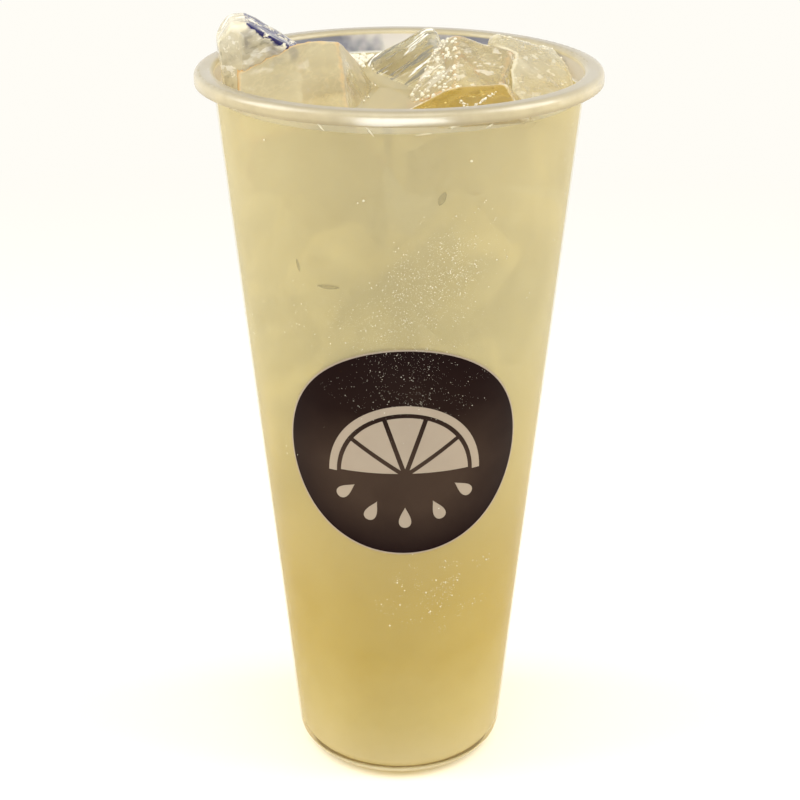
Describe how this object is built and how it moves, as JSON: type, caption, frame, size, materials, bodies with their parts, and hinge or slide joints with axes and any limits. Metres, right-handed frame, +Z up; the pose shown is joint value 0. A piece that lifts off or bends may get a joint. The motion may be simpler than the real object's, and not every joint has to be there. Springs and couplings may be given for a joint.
{
  "type": "cup of iced lemonade",
  "caption": "Tall frosted takeaway cup with an overhanging rim, filled nearly to the brim with cloudy iced lemonade; blocks of clear ice poke out at the top.",
  "frame": {"origin": "centre of the cup's foot, on the surface that it stands on", "axes": "+Z up along the cup's axis, -Y towards the side that carries the printed badge"},
  "size_m": [0.095, 0.095, 0.1902],
  "materials": {
    "frosted_plastic": "frosted translucent polypropylene, satin outside, glossier on the rim",
    "lemonade": "cloudy yellow drink with a wet surface",
    "ice": "clear ice with frosty cores, wet and glossy",
    "print": "dark brown printed ink, satin",
    "print_light": "pale greige printed ink, satin"
  },
  "bodies": {
    "root": {"cup": "frosted_plastic", "lemonade": "lemonade", "ice_tall_left": "ice", "ice_front_left": "ice", "ice_middle_back": "ice", "ice_middle_right": "ice", "ice_right": "ice", "ice_front_right": "ice"}
  },
  "joints": []
}
